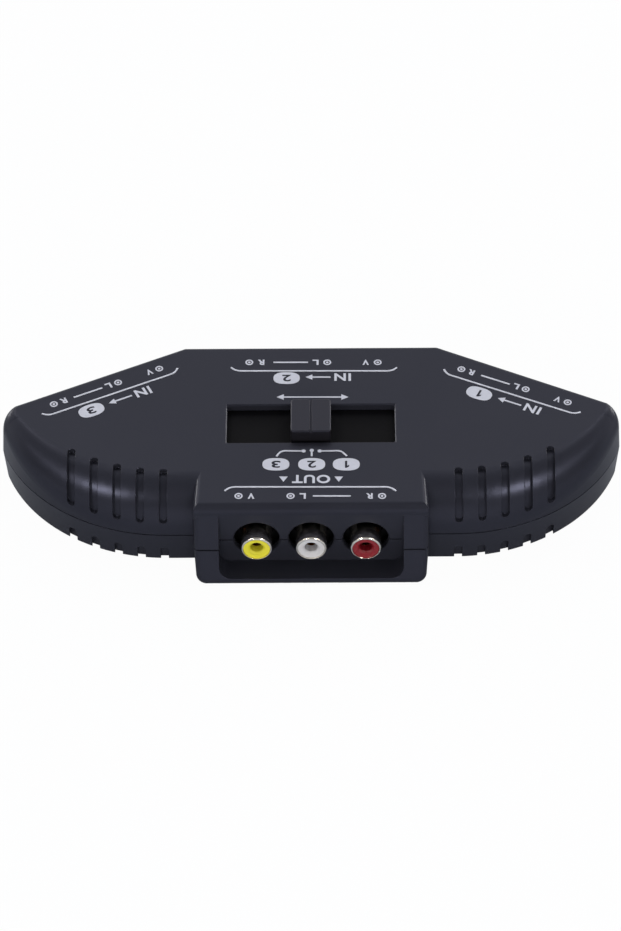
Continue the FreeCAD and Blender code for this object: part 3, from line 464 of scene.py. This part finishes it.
# Number, frame, half the bracket's length, the oval's place, and how far the row of channels spreads
for number, input_place, half, oval_place, spread in (
        ("1", (52.35, 13.3, 154.9), 18.2, (7.4, 3.25), 0.89),
        ("2", (0.83, 22.45, 179.52), 20.7, (7.22, 2.77), 1.0),
        ("3", (-52.28, 14.09, 206.0), 18.2, (7.4, 3.25), 0.89)):
    bracket = [(-half - FOOT_OUT, -FOOT_DOWN), (-half, 0), (half, 0), (half + FOOT_OUT, -FOOT_DOWN)]
    stamp(printed_lines([bracket], BRACKET_CORNER), input_place)
    stamp(numbered_oval(number), input_place, *oval_place)
    stamp(printed(word("IN", 4.4, 2.87)), input_place, WORD_ALONG, oval_place[1] - WORD_DROP)
    stamp(printed([arrow(6.6, 2.0)]), input_place, ARROW_ALONG, oval_place[1] - WORD_DROP)
    channel_row(input_place, INPUT_MARKS, INPUT_ROW_UP, spread)
    dash = [(along * spread, INPUT_ROW_UP) for along in INPUT_DASH]
    stamp(printed_lines([dash]), input_place)

# Selector: a double arrow behind the slot, and leads with dots from its front edge to the numbers
DOT = 1.1                    # diameter of a dot
DOTS = ((-1.88, -7.66), (0.22, -7.45), (2.29, -7.69))
LEADS = [[(-2.4, -7.65), (-7.73, -7.5), (-8.91, -9.58)], [(0.22, -8.0), (0.21, -9.58)],
         [(2.8, -7.68), (7.8, -7.62), (9.31, -9.58)]]
LEAD_CORNER = 2.0
stamp(printed([arrow(18.9, 2.1, both_ways=True)]), (0.45, 12.45, LEVEL))
stamp(printed_lines(LEADS, LEAD_CORNER), FLAT)
for x, y in DOTS:
    stamp(printed([oval(DOT, DOT)]), (x, y, 0))
for number, x, y in (("3", -9.02, -12.47), ("2", 0.21, -12.54), ("1", 9.13, -12.62)):
    stamp(numbered_oval(number), (x, y, LEVEL))

# Output: the word between two triangles that point at the jacks, its bracket and its channels
output_place = (0.05, -17.9, LEVEL)
OUTPUT_BRACKET = [(-22.07, -22.04), (-21.09, -20.57), (20.45, -20.9), (21.8, -22.38)]
OUTPUT_MARKS = (("V", 15.3, 18.5), ("L", 2.1, 5.2), ("R", -15.0, -18.2))
OUTPUT_DASH = [(-10.2, 0), (-0.5, 0)]
TRIANGLE = [(-1.1, -0.9), (1.1, -0.9), (0, 1.0)]
TRIANGLE_ALONG = 7.1
stamp(printed(word("OUT", 9.8, 3.0)), output_place)
for along in (-TRIANGLE_ALONG, TRIANGLE_ALONG):
    stamp(printed([TRIANGLE]), output_place, along)
stamp(printed_lines([OUTPUT_BRACKET], BRACKET_CORNER), FLAT)
row_place = (0.0, -24.0, LEVEL)
channel_row(row_place, OUTPUT_MARKS)
stamp(printed_lines([OUTPUT_DASH]), row_place)

printing = bpy.data.meshes.new("case_legends")
legend.to_mesh(printing)
legend.free()
printing.materials.clear()
printing.materials.append(ink)
case_legends = shown(printing, "case_legends")
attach(case_legends, "case")


# --- Studio ---------------------------------------------------------------------------------------
# A white table in a pale tent, brightest low at the back, which the satin top reflects, and darkest
# round the camera. Softboxes put a spot on each shoulder, strips and low boxes draw lines along the
# ends and the block's edges, and a low fill from the front lights the upright walls.

TABLE_HALF = 4               # metres
TABLE_DROP = 0.05            # mm, gap under the case
TABLE_TONE = (0.48, 0.52, 0.6, 1.0)
TABLE_GLOW = 1.02
SEEN_WHITE = 0.95            # how much of the clean white the camera sees. The rest keeps the shadow
GLOSSY_WHITE = 0.13          # how much of that is seen in gloss


def studio_white():
    """White floor that the camera sees nearly clean, and gloss and matt surfaces much dimmer."""
    material, tree = blank("white_table")
    path = add(tree, "ShaderNodeLightPath")
    clear = add(tree, "ShaderNodeMath", [(0, path.outputs["Is Camera Ray"]),
                (1, path.outputs["Is Transmission Ray"])], operation="ADD")
    seen = add(tree, "ShaderNodeMath", [(0, path.outputs["Is Glossy Ray"]), (1, GLOSSY_WHITE),
               (2, clear.outputs[0])], operation="MULTIPLY_ADD", use_clamp=True)
    share = add(tree, "ShaderNodeMath", [(0, seen.outputs[0]), (1, SEEN_WHITE)], operation="MULTIPLY")
    matt = add(tree, "ShaderNodeBsdfDiffuse", [("Color", TABLE_TONE)])
    glow = add(tree, "ShaderNodeEmission", [("Strength", TABLE_GLOW)])
    mix = add(tree, "ShaderNodeMixShader", [(0, share.outputs[0]), (1, matt.outputs[0]),
              (2, glow.outputs[0])])
    add(tree, "ShaderNodeOutputMaterial", [("Surface", mix.outputs[0])])
    return material


table = bpy.data.meshes.new("studio_table")
corners = [(x * TABLE_HALF, y * TABLE_HALF, 0) for x, y in ((-1, -1), (1, -1), (1, 1), (-1, 1))]
table.from_pydata(corners, [], [(0, 1, 2, 3)])
table.materials.append(studio_white())
studio_table = shown(table, "studio_table")
studio_table.location.z = -TABLE_DROP * MM

# Brightness of the tent by the angle over the part: front horizon 0, overhead 90, back horizon 180.
# The camera sees plain white instead
TENT_PEAK = 1.4
TENT = ((0, 0.8), (34, 0.84), (40, 0.04), (66, 0.04), (78, 0.2), (108, 0.36), (120, 0.6), (129, 1.36),
        (180, 1.2))
MIX_LOW, MIX_HIGH = 2, 3     # number sockets of a Mix node
world = bpy.data.worlds.new("studio_tent")
world.use_nodes = True
tent = world.node_tree
tent.nodes.clear()
sight = add(tent, "ShaderNodeTexCoord")
direction = add(tent, "ShaderNodeSeparateXYZ", [("Vector", sight.outputs["Generated"])])
forward = add(tent, "ShaderNodeMath", [(0, direction.outputs["Y"]), (1, -1.0)], operation="MULTIPLY")
angle = add(tent, "ShaderNodeMath", [(0, direction.outputs["Z"]), (1, forward.outputs[0])],
            operation="ARCTAN2")
turn = add(tent, "ShaderNodeMath", [(0, angle.outputs[0]), (1, math.pi)], operation="DIVIDE")
ramp = add(tent, "ShaderNodeValToRGB", [("Fac", turn.outputs[0])])
stops = ramp.color_ramp.elements
while len(stops) < len(TENT):
    stops.new(1.0)
for stop, (degrees, brightness) in zip(stops, TENT):
    stop.position = degrees / 180
    stop.color = [brightness / TENT_PEAK] * 3 + [1.0]
level = add(tent, "ShaderNodeMath", [(0, ramp.outputs["Color"]), (1, TENT_PEAK)], operation="MULTIPLY")
path = add(tent, "ShaderNodeLightPath")
strength = add(tent, "ShaderNodeMix", [(0, path.outputs["Is Camera Ray"]),
               (MIX_LOW, level.outputs[0]), (MIX_HIGH, 1.0)])
background = add(tent, "ShaderNodeBackground", [("Color", (1, 1, 1, 1)),
                 ("Strength", strength.outputs[0])])
add(tent, "ShaderNodeOutputWorld", [("Surface", background.outputs[0])])
bpy.context.scene.world = world

LAMP_DISTANCE = 1.2          # metres
LAMP_COLOUR = (1.0, 0.97, 0.9)            # slightly warm
# Direction to the right-hand lamp of each pair, its size in metres and its radiance
PAIRS = (("softbox", (0.48, -0.37, 0.8), (0.2, 0.2), 68.0),
         ("strip", (0.72, -0.2, 0.66), (0.7, 0.2), 3.2),
         ("back_strip", (0.36, 0.6, 0.72), (0.12, 0.5), 4.5),
         ("side", (0.7, 0.7, 0.16), (0.3, 0.3), 9.0))


def studio_lamp(name, direction, size, radiance):
    """Rectangular lamp that faces the part. Its power follows from its radiance."""
    lamp = bpy.data.lights.new(name, "AREA")
    lamp.shape = "RECTANGLE"
    lamp.size, lamp.size_y = size
    lamp.energy = math.pi * size[0] * size[1] * radiance
    lamp.color = LAMP_COLOUR
    holder = shown(lamp, name)
    holder.location = Vector(direction).normalized() * LAMP_DISTANCE
    holder.rotation_euler = Vector(direction).to_track_quat("Z", "Y").to_euler()
    holder.visible_camera = False
    return holder


# The softboxes show only in gloss, and the fill only on matt surfaces
for side, name in ((-1, "left"), (1, "right")):
    for kind, (x, y, z), size, radiance in PAIRS:
        lamp = studio_lamp(f"{kind}_{name}", (side * x, y, z), size, radiance)
        lamp.visible_diffuse = kind != "softbox"
fill = studio_lamp("front_fill", (0.0, -0.95, 0.3), (1.0, 0.4), 5.2)
fill.visible_glossy = False

# The camera looks down at 45 degrees, nearly level, from almost a metre away
camera_data = bpy.data.cameras.new("camera")
camera_data.lens = 136.65
camera_data.sensor_width = 36.0
camera_data.clip_end = 20.0
camera = shown(camera_data, "camera")
camera.location = (4.67 * MM, -657.2 * MM, 665.2 * MM)
camera.rotation_euler = (math.radians(45.0), 0.0077, -0.0003)
bpy.context.scene.camera = camera
bpy.context.scene.view_settings.view_transform = "Standard"
